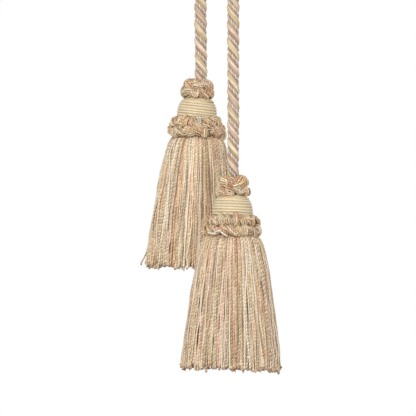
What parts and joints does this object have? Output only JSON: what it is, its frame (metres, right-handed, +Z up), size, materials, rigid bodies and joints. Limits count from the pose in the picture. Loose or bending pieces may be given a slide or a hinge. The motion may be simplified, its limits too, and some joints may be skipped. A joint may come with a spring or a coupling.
{
  "type": "chair tie with two tassels",
  "caption": "Chair tie: a thick twisted cord hanging from its middle with a like tassel on each end, one lower and in front.",
  "frame": {"origin": "crown of the cord's loop, on its upper side, where a hook or peg holds it", "axes": "+Z up, +X to the right, the front towards -Y; the lower tassel hangs to the right and in front"},
  "size_m": [0.0703, 0.0806, 0.2249],
  "materials": {
    "cord_yarn": "satin twisted yarn, cream gold, pinkish beige and lilac grey",
    "ruff_yarn": "looped soft yarns, peach tan, cream and silver grey",
    "head_yarn": "closely wound satin yarn, cream gold",
    "skirt_yarn": "fine plied cut yarns, peach tan, cream, gold and taupe"
  },
  "bodies": {
    "root": {"cord": "cord_yarn", "neck_ruff_left": "ruff_yarn", "head_left": "head_yarn", "base_ruff_left": "ruff_yarn", "skirt_left": "skirt_yarn", "neck_ruff_right": "ruff_yarn", "head_right": "head_yarn", "base_ruff_right": "ruff_yarn", "skirt_right": "skirt_yarn"}
  },
  "joints": []
}
